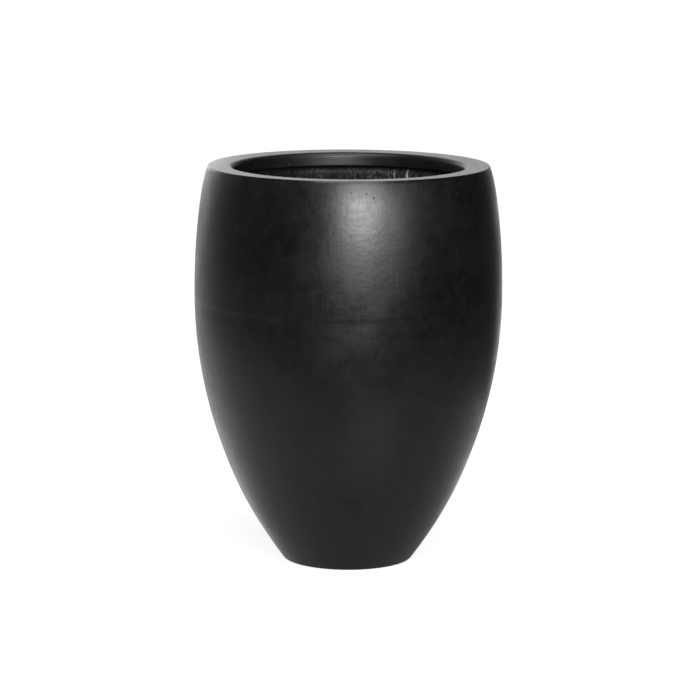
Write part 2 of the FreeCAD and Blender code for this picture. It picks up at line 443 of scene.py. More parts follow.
stoneGrain = makeGroup("stoneGrain", {"Mottle Scale": 60.0, "Grain Scale": 900.0,
                                      "Streak Scale": 260.0, "Spot Scale": 28.0}, buildStoneGrain)
fibreMat = makeGroup("fibreMat", {"Across": 420.0, "Along": 26.0}, buildFibreMat)
tapeWeave = makeGroup("tapeWeave", {"Pitch": 4.2 * mm}, buildTapeWeave)

# Stone of the shells, the rim and the lip
stone = {"dark": (0.0022, 0.0022, 0.0023), "light": (0.0054, 0.0054, 0.0055),
         "speck": (0.09, 0.09, 0.087), "speckStrength": 0.3, "pinhole": 0.004,
         "roughMottle": 0.012, "roughDrift": 0.02}
wallFinish = {
    "specular": 0.65, "roughness": 0.355, "mottle": 0.09 * mm, "ripple": 0.25 * mm,
    "streak": 0.26 * mm, "streakRough": 0.03,
    "onRim": (595 * mm, 598.8 * mm), "rimRough": -0.06, "rimCalm": 0.08,
    "line": 0.003, "lineWidth": (0.4 * mm, 2.4 * mm), "lineWaver": 0.5 * mm,
    "lineStrength": 0.4, "lineRough": 0.06,
    "dip": 0.75 * mm, "dipAbove": 10 * mm, "dipBelow": 20 * mm,
    "pit": 0.002, "pitDepth": 0.3 * mm, "pitStrength": 0.5, "pitRough": 0.3,
}
lipFinish = {"specular": 0.58, "roughness": 0.42, "mottle": 0.05 * mm, "brushed": 0.05 * mm,
             "brushedRough": 0.03, "pinholeDepth": 0.35 * mm}
# Cast-in pits and edge chips near the highlight: across, height and radius in mm
pits = ((25.6, 582.8, 1.3), (35.9, 576.5, 1.6), (17.9, 557, 1.1), (-31, 583.5, 0.9),
        (3.8, 583.7, 0.8), (4, 522, 1.2), (-46.8, 495.6, 1.2), (37.4, 492, 1.1),
        (37.4, 486.8, 1.0), (-28.3, 551, 0.8), (79.5, 599, 1.6), (86, 596.5, 1.0),
        (93, 595.5, 0.9), (-8, 447, 0.9), (56, 420, 0.8))


def inPits(tree, where):
    # 1 inside each pit of the wall's front, 0 outside
    spots = []
    for across, height, size in pits:
        reach = wallRadius(wall["outer"], height * mm)
        centre = (across * mm, -math.sqrt(reach**2 - (across * mm) ** 2), height * mm)
        away = put(tree, "ShaderNodeVectorMath", {0: where, 1: centre}, operation="DISTANCE")
        inner, outer = size * 0.4 * mm, size * 1.15 * mm
        spots.append(eased(tree, away.outputs["Value"], inner, outer, 1.0, 0.0))
    return joined(tree, "MAXIMUM", spots)


def wallDetail(tree, finish, where, grain, colour, rough):
    # Sanding marks below the rim, the belly joint's soft dip and thin line, and the pits
    height = axesOf(tree, where)[2]
    onRim = mapRange(tree, height, *finish["onRim"])
    streak = times(tree, grain["Streak"], mapRange(tree, grain["Cloud"], 0.4, 0.6, 0.3, 1.0))
    streak = times(tree, streak, oneMinus(tree, onRim))
    marks = mapRange(tree, streak, 0.15, 0.5, -finish["streakRough"], finish["streakRough"])
    ragged = plus(tree, height, wander(tree, grain["Mottle"], finish["lineWaver"]))
    above = combine(tree, "SUBTRACT", ragged, wall["joint"])
    line = eased(tree, combine(tree, "ABSOLUTE", above), *finish["lineWidth"], 1.0, 0.0)
    line = times(tree, line, mapRange(tree, grain["Cloud"], 0.42, 0.62))
    dip = combine(tree, "MINIMUM", eased(tree, above, 0.0, finish["dipAbove"], 1.0, 0.0),
                  eased(tree, above, -finish["dipBelow"], 0.0))
    dip = times(tree, dip, mapRange(tree, grain["Cloud"], 0.36, 0.54, 0.4, 1.0))
    pitted = inPits(tree, where)
    holes = combine(tree, "MAXIMUM", grain["Pinhole"], pitted)
    calm = mapRange(tree, onRim, 0.0, 1.0, 1.0, finish["rimCalm"])
    colour = mixed(tree, times(tree, line, finish["lineStrength"]), colour, finish["line"])
    colour = mixed(tree, times(tree, pitted, finish["pitStrength"]), colour, finish["pit"])
    changes = weighed(tree, (onRim, finish["rimRough"]), (line, finish["lineRough"]),
                      (holes, finish["pitRough"]))
    return colour, joined(tree, "ADD", [rough, marks, changes]), [
        (times(tree, grain["Mottle"], calm), 0.5, finish["mottle"]),
        (times(tree, grain["Ripple"], calm), 0.5, finish["ripple"]),
        (streak, 0.5, finish["streak"]),
        (oneMinus(tree, dip), 0.5, finish["dip"]),
        (oneMinus(tree, holes), 0.7, finish["pitDepth"]),
    ]


def lipDetail(tree, finish, where, grain, colour, rough):
    # The lip is brushed round the mouth
    brushed = noiseAt(tree, placed(tree, where, scale=(0.06, 0.06, 1.0)), 520.0)
    return colour, plus(tree, rough, wander(tree, brushed, finish["brushedRough"])), [
        (grain["Mottle"], 0.5, finish["mottle"]),
        (brushed, 0.5, finish["brushed"]),
        (oneMinus(tree, grain["Pinhole"]), 0.8, finish["pinholeDepth"]),
    ]


def makeStone(name, finish, addDetail):
    material, tree, shader, where = newMaterial(name, finish["specular"])
    grain = useGroup(tree, stoneGrain, {"Vector": where})
    tone = weighed(tree, (grain["Cloud"], 0.45), (grain["Mottle"], 0.55))
    colour = mixed(tree, mapRange(tree, tone, 0.36, 0.64), stone["dark"], stone["light"])
    specks = times(tree, grain["Speck"], stone["speckStrength"])
    colour = mixed(tree, specks, colour, stone["speck"])
    colour = mixed(tree, grain["Pinhole"], colour, stone["pinhole"])
    rough = joined(tree, "ADD", [
        wander(tree, grain["Mottle"], stone["roughMottle"], finish["roughness"]),
        wander(tree, grain["Cloud"], stone["roughDrift"]),
        wander(tree, grain["Ripple"], stone["roughDrift"]),
    ])
    dress(tree, shader, *addDetail(tree, finish, where, grain, colour, rough))
    return material


wallStone = makeStone("wallStone", wallFinish, wallDetail)
lipStone = makeStone("lipStone", lipFinish, lipDetail)

# Fibre. Inside the wall it is darker to the left, with pale drips and painted shade below the lip.
fibre = {
    "specular": 0.25,
    "rich": (-30, -9, 0.2, 1.0),  # between two angles in degrees, between two strengths
    "drips": ((23.0, 0.17, 0.6), (19.9, 0.15, 0.22), (30.1, 0.3, 1.0)),  # angle, reach, strength
    "drip": (0.6, 0.6, 0.59), "dripHead": (557 * mm, 573 * mm, 1.0, 0.45),
    "dripFoot": (515 * mm, 548 * mm), "dripFootWaver": 16 * mm, "dripWaver": 0.005,
    "dripRagged": 0.002, "dripSoftness": 2.6,
    # Painted shade under the lip: the band's heights, its waver and its colour
    "shadeBand": (571.5 * mm, 575.5 * mm), "shadeBandWaver": 1.2 * mm, "paintedShade": 0.002,
}


def addDrips(tree, mat, turn, height, colour):
    turn = plus(tree, turn, wander(tree, mat["Lump"], fibre["dripWaver"]))
    ends = plus(tree, height, wander(tree, mat["Run"], fibre["dripFootWaver"]))
    fade = times(tree, mapRange(tree, height, *fibre["dripHead"]),
                 eased(tree, ends, *fibre["dripFoot"]))
    for angle, reach, strength in fibre["drips"]:
        away = combine(tree, "SUBTRACT", turn, math.radians(angle))
        edge = mapRange(tree, mat["Blot"], 0.0, 1.0, fibre["dripRagged"], -fibre["dripRagged"])
        ragged = plus(tree, combine(tree, "ABSOLUTE", away), edge)
        inner, outer = math.radians(reach), math.radians(reach * fibre["dripSoftness"])
        drip = eased(tree, ragged, inner, outer, strength, 0.0)
        colour = mixed(tree, times(tree, drip, fade), colour, fibre["drip"])
    return colour


def makeFibre(name, dark, light, onWall):
    material, tree, shader, where = newMaterial(name, fibre["specular"])
    mat = useGroup(tree, fibreMat, {"Vector": where})
    relief = weighed(tree, (mat["Strand"], 0.14), (mat["Lump"], 0.7), (mat["Run"], 0.45))
    tone = weighed(tree, (mapRange(tree, relief, 0.42, 0.78), 0.35), (mat["Blot"], 0.9))
    rough = weighed(tree, (mat["Lump"], 1.0), (mat["Strand"], -0.3))
    rough = mapRange(tree, rough, 0.2, 0.7, 0.5, 0.75)
    if onWall:
        axes = axesOf(tree, where)
        turn = combine(tree, "ARCTAN2", axes[0], axes[1])
        start, end, poor, full = fibre["rich"]
        rich = eased(tree, turn, math.radians(start), math.radians(end), poor, full)
        colour = mixed(tree, times(tree, tone, rich), dark, light)
        colour = addDrips(tree, mat, turn, axes[2], colour)
        # Painted shade under the lip: a band just below it turns near black and fully rough
        height = plus(tree, axes[2], wander(tree, mat["Lump"], fibre["shadeBandWaver"]))
        shadeBand = eased(tree, height, *fibre["shadeBand"])
        colour = mixed(tree, shadeBand, colour, fibre["paintedShade"])
        rough = mapRange(tree, shadeBand, 0.0, 1.0, rough, 1.0)
    else:
        colour = mixed(tree, tone, dark, light)
    dress(tree, shader, colour, rough, [
        (mat["Lump"], 0.8, 0.9 * mm),
        (mat["Run"], 0.6, 0.8 * mm),
        (mat["Strand"], 0.6, 0.15 * mm),
    ])
    return material


innerFibre = makeFibre("innerFibre", (0.003, 0.003, 0.0031), (0.066, 0.066, 0.067), True)
floorFibre = makeFibre("floorFibre", (0.012, 0.012, 0.0125), (0.050, 0.050, 0.051), False)
weaveColours = (0.010, 0.010, 0.0105), (0.052, 0.052, 0.053)


def makeTape():
    material, tree, shader, where = newMaterial("tapeFibre", 0.5)
    weave = useGroup(tree, tapeWeave, {"Vector": where})
    tone = weighed(tree, (weave["Weave"], 0.6), (weave["Fuzz"], 0.5))
    colour = mixed(tree, mapRange(tree, tone, 0.35, 0.95), *weaveColours)
    dress(tree, shader, colour, wander(tree, weave["Fuzz"], 0.1, 0.52), [
        (weave["Weave"], 0.9, 0.7 * mm),
        (weave["Fuzz"], 0.6, 0.4 * mm),
    ])
    return material


tapeFibre = makeTape()
cast = {"specular": 0.45, "pinhole": 0.006, "roughGrain": 0.07,
        "scales": {"Mottle Scale": 110.0, "Grain Scale": 1400.0, "Spot Scale": 90.0}}


def makeCast(name, dark, light, roughness):
    material, tree, shader, where = newMaterial(name, cast["specular"])
    grain = useGroup(tree, stoneGrain, {"Vector": where, **cast["scales"]})
    colour = mixed(tree, mapRange(tree, grain["Mottle"], 0.35, 0.65), dark, light)
    colour = mixed(tree, grain["Pinhole"], colour, cast["pinhole"])
    dress(tree, shader, colour, wander(tree, grain["Grain"], cast["roughGrain"], roughness), [
        (grain["Mottle"], 0.6, 0.3 * mm),
        (grain["Grain"], 0.6, 0.06 * mm),
        (oneMinus(tree, grain["Pinhole"]), 0.9, 0.6 * mm),
    ])
    return material


castStone = makeCast("castStone", (0.028, 0.028, 0.0285), (0.062, 0.062, 0.063), 0.72)
coreFiller = makeCast("coreFiller", (0.09, 0.09, 0.088), (0.15, 0.15, 0.147), 0.85)
rubber = {"dark": 0.012, "light": 0.022, "dust": (0.10, 0.095, 0.085), "dustStrength": 0.25,
          "scales": {"Mottle Scale": 220.0, "Grain Scale": 3200.0, "Spot Scale": 60.0}}


def makeRubber():
    material, tree, shader, where = newMaterial("plugRubber", 0.4)
    grain = useGroup(tree, stoneGrain, {"Vector": where, **rubber["scales"]})
    colour = mixed(tree, wander(tree, grain["Mottle"], 0.5, 0.5), rubber["dark"], rubber["light"])
    dusty = mapRange(tree, grain["Cloud"], 0.5, 0.7, 0.0, rubber["dustStrength"])
    colour = mixed(tree, dusty, colour, rubber["dust"])
    dress(tree, shader, colour, wander(tree, grain["Mottle"], 0.07, 0.59), [
        (grain["Mottle"], 0.4, 0.08 * mm),
        (grain["Grain"], 0.5, 0.03 * mm),
    ])
    return material


plugRubber = makeRubber()
print("materials ready")

# Shells and rim. A round is its size and its segments.
shells = {
    "turnSteps": 320, "rowStep": 4 * mm, "hiddenStep": 24 * mm,
    "footRound": (2.5 * mm, 5), "footStop": 6 * mm,
    "jointStop": 1 * mm,  # the last row before the joint, on either side of it
    "shoulderStart": 570 * mm, "shoulderStops": (573, 576, 579, 582, 585, 588, 591),
}


def makeLowerShell():
    face, lap, back = wall["outer"], wall["lap"], wall["skinBack"]
    joint, lapFoot, coarse = wall["joint"], wall["lapFoot"], shells["hiddenStep"]
    outline, foot = startOnWall(face, 0)
    end = follow(outline, foot, (face, shells["footStop"]),
                 (face, joint - shells["jointStop"], shells["rowStep"]), (face, joint),
                 (lap, joint), (lap, lapFoot, coarse), (back, lapFoot), (back, 0, coarse))
    outline.edges.new((end, foot))
    fillOut(outline)
    roundCorners(outline, [foot], *shells["footRound"])
    turnOutline(outline, shells["turnSteps"])
    finishPiece("LowerShell", outline, [wallStone], ["lower_shell"])


def makeUpperShell():
    face, lap, back, tongue = wall["outer"], wall["lap"], wall["skinBack"], wall["tongue"]
    joint, lapFoot, coarse = wall["joint"], wall["lapFoot"], shells["hiddenStep"]
    under, rimLapFoot = wall["rimUnderside"], wall["rimLapFoot"]
    outline, edge = startOnWall(face, joint)
    high = follow(outline, edge, (face, joint + shells["jointStop"]),
                  (face, shells["shoulderStart"], shells["rowStep"]))
    high = alongShoulder(outline, high, shells["shoulderStops"])
    end = follow(outline, high, (lap, under), (lap, rimLapFoot, coarse), (back, rimLapFoot),
                 (back, lapFoot, coarse), (tongue, lapFoot), (tongue, joint, coarse))
    outline.edges.new((end, edge))
    fillOut(outline)
    turnOutline(outline, shells["turnSteps"])
    finishPiece("UpperShell", outline, [wallStone], ["upper_shell"])


rim = {
    "lipFace": 173 * mm, "lipDraft": 0.4 * mm, "lipBack": 179 * mm, "lipFoot": 578.5 * mm,
    "fall": 1.1 * mm, "edgeStops": (592.5, 594, 595, 596, 597, 598, 598.7, 599.3, 600),
    "outerRound": (0.8 * mm, 3), "innerRound": (7 * mm, 12), "lipRound": (1.5 * mm, 4),
    "rowStep": 3.5 * mm,
    "lipStoneReach": 3.5 * mm,  # the lip's finish starts this far out from its face
    "lipStoneDrop": 1.8 * mm,  # and this far below the rim's top
}


def makeRimRing():
    top, under, lapFoot = wall["height"], wall["rimUnderside"], wall["rimLapFoot"]
    back, tongue = wall["skinBack"], wall["tongue"]
    outline, start = startAt(wallRadius(wall["outer"], under) - softEdge(under), under)
    outer = alongShoulder(outline, start, rim["edgeStops"])
    inner, lip, _, behind = through(
        outline, outer, (rim["lipFace"] + rim["lipDraft"], top - rim["fall"]),
        (rim["lipFace"], rim["lipFoot"]), (rim["lipBack"], rim["lipFoot"]), (rim["lipBack"], under))
    end = follow(outline, behind, (back, under), (back, lapFoot), (tongue, lapFoot),
                 (tongue, under))
    outline.edges.new((end, start))
    fillOut(outline)
    roundCorners(outline, [outer], *rim["outerRound"])
    roundCorners(outline, [inner], *rim["innerRound"])
    roundCorners(outline, [lip], *rim["lipRound"])
    refine(outline, outline.edges[:], rim["rowStep"])
    turnOutline(outline, shells["turnSteps"])
    for face in outline.faces:
        middle = face.calc_center_median()
        inside = middle.xy.length < rim["lipFace"] + rim["lipStoneReach"]
        face.material_index = 1 if inside and middle.z < top - rim["lipStoneDrop"] else 0
    keepFlatFacesFlat(finishPiece("RimRing", outline, [wallStone, lipStone],
                                  ["rim_ring"]))


makeLowerShell()
makeUpperShell()
makeRimRing()
print("shells and rim ready")

# Glass-fibre backing
laminate = {
    "turnSteps": 608, "rowStep": 2.4 * mm, "firstStep": 19.2 * mm, "hiddenStep": 30 * mm,
    "sideStep": 12 * mm, "lowerStep": 4.2 * mm, "lowerSteps": 448,
    "fibreFace": 179.3 * mm, "fibreBack": 184.3 * mm, "seenDepth": 3 * mm, "foot": 14 * mm,
    "shoulder": 560 * mm, "bend": 499.7 * mm, "bendRound": (8.9 * mm, 8),
    "lump": 0.75 * mm, "lumpScale": 42,
    "run": 0.45 * mm, "runScale": (60, 60, 11), "runShift": (3.1, 7.7, 1.9),
    "fine": 0.28 * mm, "fineScale": 320,
    "hollow": 4.2 * mm, "hollowStart": 569 * mm, "hollowDepth": 7 * mm,
}


def rolling(spot, octaves, lacunarity=2.0):
    return noise.fractal(spot, 0.9, lacunarity, octaves, noise_basis="PERLIN_NEW")


def roughened(spot):
    # Height of the hand-laid surface over its drawn face: lumps, downward runs and small bumps
    lump = rolling(spot * laminate["lumpScale"], 4, 2.1)
    run = rolling(spot * Vector(laminate["runScale"]) + Vector(laminate["runShift"]), 2)
    fine = noise.noise(spot * laminate["fineScale"], noise_basis="PERLIN_NEW")
    return lump * laminate["lump"] + run * laminate["run"] + fine * laminate["fine"]


def roughenInside(shape):
    moves = [(vert, vert.normal * roughened(vert.co)) for vert in shape.verts if facesAxis(vert)]
    for vert, move in moves:
        vert.co += move


def makeUpperLaminate():
    back, face = wall["laminateBack"], wall["laminateFace"]
    foot, top = wall["lapFoot"], wall["rimUnderside"]
    outline, start = startOnWall(back, foot)
    corner = alongWall(outline, start, back, laminate["bend"], laminate["hiddenStep"])
    far, near, kink = laminate["fibreBack"], laminate["fibreFace"], laminate["shoulder"]
    shoulder = through(outline, corner, (far, kink), (far, top), (near, top), (near, kink))[-1]
    toe = lineToWall(outline, shoulder, face, laminate["bend"])
    below = alongWall(outline, toe, face, foot, laminate["sideStep"])
    outline.edges.new((below, start))
    roundCorners(outline, [shoulder, toe], *laminate["bendRound"])
    refine(outline, outline.edges[:], laminate["firstStep"])
    behind = laminate["seenDepth"]
    seen = [edge for edge in outline.edges
            if all(vert.co.x < wallRadius(back, vert.co.z) - behind for vert in edge.verts)]
    refine(outline, seen, laminate["rowStep"], slack=0)
    turnOutline(outline, laminate["turnSteps"])
    roughenInside(outline)
    for vert in outline.verts:  # the fibre dips away under the lip
        dip = (vert.co.z - laminate["hollowStart"]) / laminate["hollowDepth"]
        if dip > 0 and facesAxis(vert):
            vert.co.xy *= 1 + laminate["hollow"] * min(1, dip) / vert.co.xy.length
    finishPiece("UpperLaminate", outline, [innerFibre], ["upper_laminate"])


def wallBand(back, face, foot, head, step):
    # The closed outline of a band of the wall, between two depths and two heights
    outline, start = startOnWall(back, foot)
    end = follow(outline, start, (back, head, laminate["hiddenStep"]), (face, head),
                 (face, foot, step))
    outline.edges.new((end, start))
    return outline


def makeLowerLaminate():
    outline = wallBand(wall["laminateBack"], wall["laminateFace"], laminate["foot"],
                       wall["lapFoot"], laminate["lowerStep"])
    turnOutline(outline, laminate["lowerSteps"])
    roughenInside(outline)
    finishPiece("LowerLaminate", outline, [innerFibre], ["lower_laminate"])


makeUpperLaminate()
makeLowerLaminate()
print("laminates ready")

# Seam tape: woven glass tape over the joint of the two laminates, with frayed edges
tape = {
    "foot": 345 * mm, "head": 421 * mm, "thickness": 2 * mm, "turnSteps": 640, "rowStep": 2 * mm,
    "fray": 2.2 * mm, "frayZone": 7 * mm, "frayScale": 90, "frayInward": 0.4, "sideShift": 3,
    "lift": 0.6 * mm, "liftScale": 34, "edgeLift": 0.6, "edgeLiftScale": 260,
}


def makeSeamTape():
    back, foot, head = wall["overlayBack"], tape["foot"], tape["head"]
    outline = wallBand(back, back + tape["thickness"], foot, head, tape["rowStep"])
    turnOutline(outline, tape["turnSteps"])
    middle, reach = (foot + head) / 2, (head - foot) / 2
    for vert in outline.verts:
        spot = vert.co.copy()
        side = 1 if spot.z > middle else -1
        edgeShare = max(0, 1 - (reach - abs(spot.z - middle)) / tape["frayZone"])
        thread = Vector((*(spot.xy * tape["frayScale"]), side * tape["sideShift"]))
        vert.co.z += side * tape["fray"] * edgeShare * (noise.noise(thread) - tape["frayInward"])
        if facesAxis(vert):
            wave = rolling(spot * tape["liftScale"], 3)
            fuzz = tape["edgeLift"] * edgeShare * noise.noise(spot * tape["edgeLiftScale"])
            vert.co += vert.normal * tape["lift"] * (wave + fuzz)
    finishPiece("SeamTape", outline, [tapeFibre], ["seam_tape"])


makeSeamTape()

# Floor laminate: fibre over the base plate, turned up the wall, with the drain hole cut through
floorMat = {
    "under": 14 * mm, "top": 18 * mm, "head": 58 * mm, "face": 13.6 * mm, "drain": 13 * mm,
    "coveRound": (10.5 * mm, 10), "turnSteps": 512, "rowStep": 2 * mm, "seenDrop": 1 * mm,
    "relief": 0.8,
    "plugReach": 9 * mm,  # flat under the plug's flange, then rising to the full relief
    "calmReach": 10 * mm,
}


def makeFloorLaminate():
    back, face, top, head = wall["overlayBack"], floorMat["face"], floorMat["top"], floorMat["head"]
    outline, start = startAt(floorMat["drain"], floorMat["under"])
    cove = follow(outline, start, (back, floorMat["under"]), (back, head, laminate["hiddenStep"]),
                  (face, head), (face, top))
    end = lineTo(outline, cove, floorMat["drain"], top)
    outline.edges.new((end, start))
    roundCorners(outline, [cove], *floorMat["coveRound"])
    seenFrom = top - floorMat["seenDrop"]
    seen = [edge for edge in outline.edges if min(vert.co.z for vert in edge.verts) > seenFrom]
    refine(outline, seen, floorMat["rowStep"], slack=0)
    turnOutline(outline, floorMat["turnSteps"])
    for vert in outline.verts:
        flat = vert.co.xy.length - floorMat["drain"] - floorMat["plugReach"]
        amount = floorMat["relief"] * min(1, max(0, flat / floorMat["calmReach"]))
        if vert.co.z > seenFrom and (vert.normal.z > 0.3 or facesAxis(vert)):
            vert.co += vert.normal * amount * roughened(vert.co)
    finishPiece("FloorLaminate", outline, [floorFibre], ["floor_laminate"])


makeFloorLaminate()

# Base plate: cast, with a standing ring, a shallow recess and the drain hole
base = {
    "thickness": 14 * mm, "recess": 5 * mm, "standing": 23 * mm, "recessRound": (2 * mm, 4),
    "ringRound": (1 * mm, 3), "drain": 13 * mm, "drainRound": (0.8 * mm, 3),
    "rowStep": 4 * mm, "turnSteps": 256,
}


def makeBasePlate():
    foot = wallRadius(wall["laminateBack"], 0)
    outline, start = startAt(foot - base["standing"], 0)
    outer = lineTo(outline, start, foot, 0)
    corner = lineToWall(outline, outer, wall["laminateBack"], base["thickness"])
    corner = lineTo(outline, corner, base["drain"], base["thickness"])
    drain, inner = through(outline, corner, (base["drain"], base["recess"]),
                           (foot - base["standing"], base["recess"]))
    outline.edges.new((inner, start))
    for name, corner in (("recess", start), ("ring", outer), ("drain", drain), ("recess", inner)):
        roundCorners(outline, [corner], *base[name + "Round"])
    refine(outline, outline.edges[:], base["rowStep"])
    turnOutline(outline, base["turnSteps"])
    keepFlatFacesFlat(finishPiece("BasePlate", outline, [castStone], ["base_plate"]))


makeBasePlate()

# Drain plug: moulded rubber, hollow below, with a grip on its flange
plug = {
    "foot": 5.3 * mm, "stem": 13 * mm, "stemRoot": 12.7 * mm, "stemTip": 11.5 * mm,
    "tipRound": (1 * mm, 3), "hollow": 8 * mm, "hollowDepth": 7 * mm, "hollowRound": (1 * mm, 3),
    "flange": 21 * mm, "flangeThickness": 3.5 * mm, "flangeRound": (1.2 * mm, 4),
    "groove": 17 * mm, "grooveDepth": 0.5 * mm, "grooveSide": 1 * mm,
    "grooveRound": (0.5 * mm, 3), "neck": 5 * mm, "neckHeight": 5 * mm,
    "neckRound": (0.8 * mm, 3), "head": 8 * mm, "headHeight": 6 * mm, "headRound": (2 * mm, 5),
    "dimple": 4.5 * mm, "dimpleFloor": 2.475 * mm, "dimpleDepth": 0.9 * mm,
    "dimpleRound": (0.7 * mm, 3), "turnSteps": 128,
}


def makeDrainPlug():
    foot, flange, groove, side = plug["foot"], plug["flange"], plug["groove"], plug["grooveSide"]
    neck, head, hollow, dimple = plug["neck"], plug["head"], plug["hollow"], plug["dimple"]
    stemTop = foot + plug["stem"]
    flangeTop = stemTop + plug["flangeThickness"]
    neckTop = flangeTop + plug["neckHeight"]
    headTop = neckTop + plug["headHeight"]
    bowlFloor, hollowTop = headTop - plug["dimpleDepth"], foot + plug["hollowDepth"]
    outline, start = startAt(hollow, foot)
    tip, _, under, over, _, bottom, _, root, throat, low, high, lip, bowl, _, _, roof = through(
        outline, start, (plug["stemTip"], foot), (plug["stemRoot"], stemTop), (flange, stemTop),
        (flange, flangeTop), (groove + side, flangeTop), (groove, flangeTop - plug["grooveDepth"]),
        (groove - side, flangeTop), (neck, flangeTop), (neck, neckTop), (head, neckTop),
        (head, headTop), (dimple, headTop), (plug["dimpleFloor"], bowlFloor), (0, bowlFloor),
        (0, hollowTop), (hollow, hollowTop))
    outline.edges.new((roof, start))
    for name, corners in (("tip", [tip]), ("flange", [under, over]), ("groove", [bottom]),
                          ("neck", [root, throat]), ("head", [low, high]),
                          ("dimple", [lip, bowl]), ("hollow", [roof])):
        roundCorners(outline, corners, *plug[name + "Round"])
    turnOutline(outline, plug["turnSteps"])
    keepFlatFacesFlat(finishPiece("DrainPlug", outline, [plugRubber],
                                  ["drain_plug"], "plug"))


makeDrainPlug()

# The core's node keeps its shape and takes the filler's finish
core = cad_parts["rim_core"]
core.data.materials.clear()
core.data.materials.append(coreFiller)
print("inside and base ready")

# Floor, lamps and camera
studio = {
    "floorRadius": 40.0, "floorColour": 0.8, "cameraFloor": 0.25, "shadowGlow": 0.9,
    "shadowReach": (0.25, 0.6), "soft": 0.1, "overhead": 0.01, "skyTop": (0.45, 0.8),
    "nearShift": (0.3, -0.05, 0), "ringMiddle": 166.0, "ringReach": (12.0, 34.0),
    "brightest": 4.0,
}
# The studio as the pot's reflections see it. A sweep is the level by angle, with -180 and 180 in
# front, -90 left and 0 behind; a falloff is the level by metres from the pot.
skySweep = ((-180, 0.03), (-125, 0.045), (-100, 0.06), (-80, 0.11), (-65, 0.21), (-50, 0.42),
            (-30, 0.85), (0, 0.92), (12, 0.64), (24, 0.32), (38, 0.045), (60, 0.006), (180, 0.01))
farSweep = ((-180, 0.03), (-125, 0.045), (-100, 0.07), (-80, 0.135), (-65, 0.235), (-50, 0.46),
            (-40, 0.64), (-30, 0.9), (0, 1.2), (12, 1.6), (18, 1.6), (24, 1.0), (30, 0.52),
            (36, 0.18), (42, 0.03), (180, 0.01))
farFalloff = ((0.5, 0.0), (0.9, 1.0), (1.2, 1.5), (1.4, 1.5), (1.8, 1.25), (2.4, 1.08), (3.0, 1.0),
              (4.0, 0.8), (5.0, 0.7), (10.0, 0.58))
nearSweep = ((-180, 0.0), (-140, 0.08), (-110, 0.19), (-90, 0.34), (-75, 0.53), (-58, 0.94),
             (-45, 1.13), (-30, 1.0), (0, 0.9), (20, 0.85), (40, 0.75), (60, 0.36), (75, 0.17),
             (90, 0.08), (120, 0.02), (180, 0.0))
nearFalloff = ((0.0, 1.0), (1.0, 1.0), (1.13, 0.0))
baseFalloff = ((0.1, 0.27), (0.23, 0.27), (0.34, 0.29), (0.48, 0.27), (0.6, 0.26), (0.73, 0.19),
               (1.0, 0.1), (1.4, 0.04), (2.0, 0.02))
ringFalloff = ((0.3, 0.0), (0.4, 0.15), (0.48, 0.27), (0.6, 0.16), (0.75, 0.0))


def rampOf(tree, value, stops, low, high):
    # A level by stops of the value between two limits
    ramp = put(tree, "ShaderNodeValToRGB", {0: mapRange(tree, value, low, high)})
    for number, (stop, level) in enumerate(stops):
        place = (stop - low) / (high - low)
        elements = ramp.color_ramp.elements
        element = elements[number] if number < 2 else elements.new(place)
        element.position = place
        element.color = (level / studio["brightest"],) * 3 + (1,)
    return times(tree, ramp.outputs["Color"], studio["brightest"])


def bySweep(tree, angle, sweep):
    return rampOf(tree, angle, sweep, -180, 180)


def sweepAngle(tree, axes):
    return combine(tree, "DEGREES", combine(tree, "ARCTAN2", axes[0], axes[1]))


def lengthOf(tree, vector):
    return put(tree, "ShaderNodeVectorMath", {0: vector}, operation="LENGTH").outputs["Value"]


def diffuse(tree, level):
    return put(tree, "ShaderNodeBsdfDiffuse", {"Color": (level, level, level, 1)}).outputs[0]


def emission(tree, strength):
    return put(tree, "ShaderNodeEmission", {"Strength": strength}).outputs[0]


def chosen(tree, share, first, second):
    return put(tree, "ShaderNodeMixShader", {0: share, 1: first, 2: second}).outputs[0]


def paintedFloorLight(tree, where):
    # The floor's painted light, which only reflections see: a painted pool of light beside the pot,
    # the far sweep, the ground round the foot and a faint ring of light in front
    away = lengthOf(tree, where)
    angle = sweepAngle(tree, axesOf(tree, where))
    beside = put(tree, "ShaderNodeVectorMath", {0: where, 1: studio["nearShift"]}, operation="ADD")
    near = times(tree, bySweep(tree, angle, nearSweep),
                 rampOf(tree, lengthOf(tree, beside.outputs[0]), nearFalloff, 0, 2))
    far = times(tree, bySweep(tree, angle, farSweep), rampOf(tree, away, farFalloff, 0, 10))
    aside = combine(tree, "ABSOLUTE", combine(tree, "SUBTRACT", angle, studio["ringMiddle"]))
    ring = times(tree, eased(tree, aside, *studio["ringReach"], 1.0, 0.0),
                 rampOf(tree, away, ringFalloff, 0, 2))
    brighter = combine(tree, "MAXIMUM", near, far)
    return joined(tree, "ADD", [brighter, rampOf(tree, away, baseFalloff, 0, 2), ring])


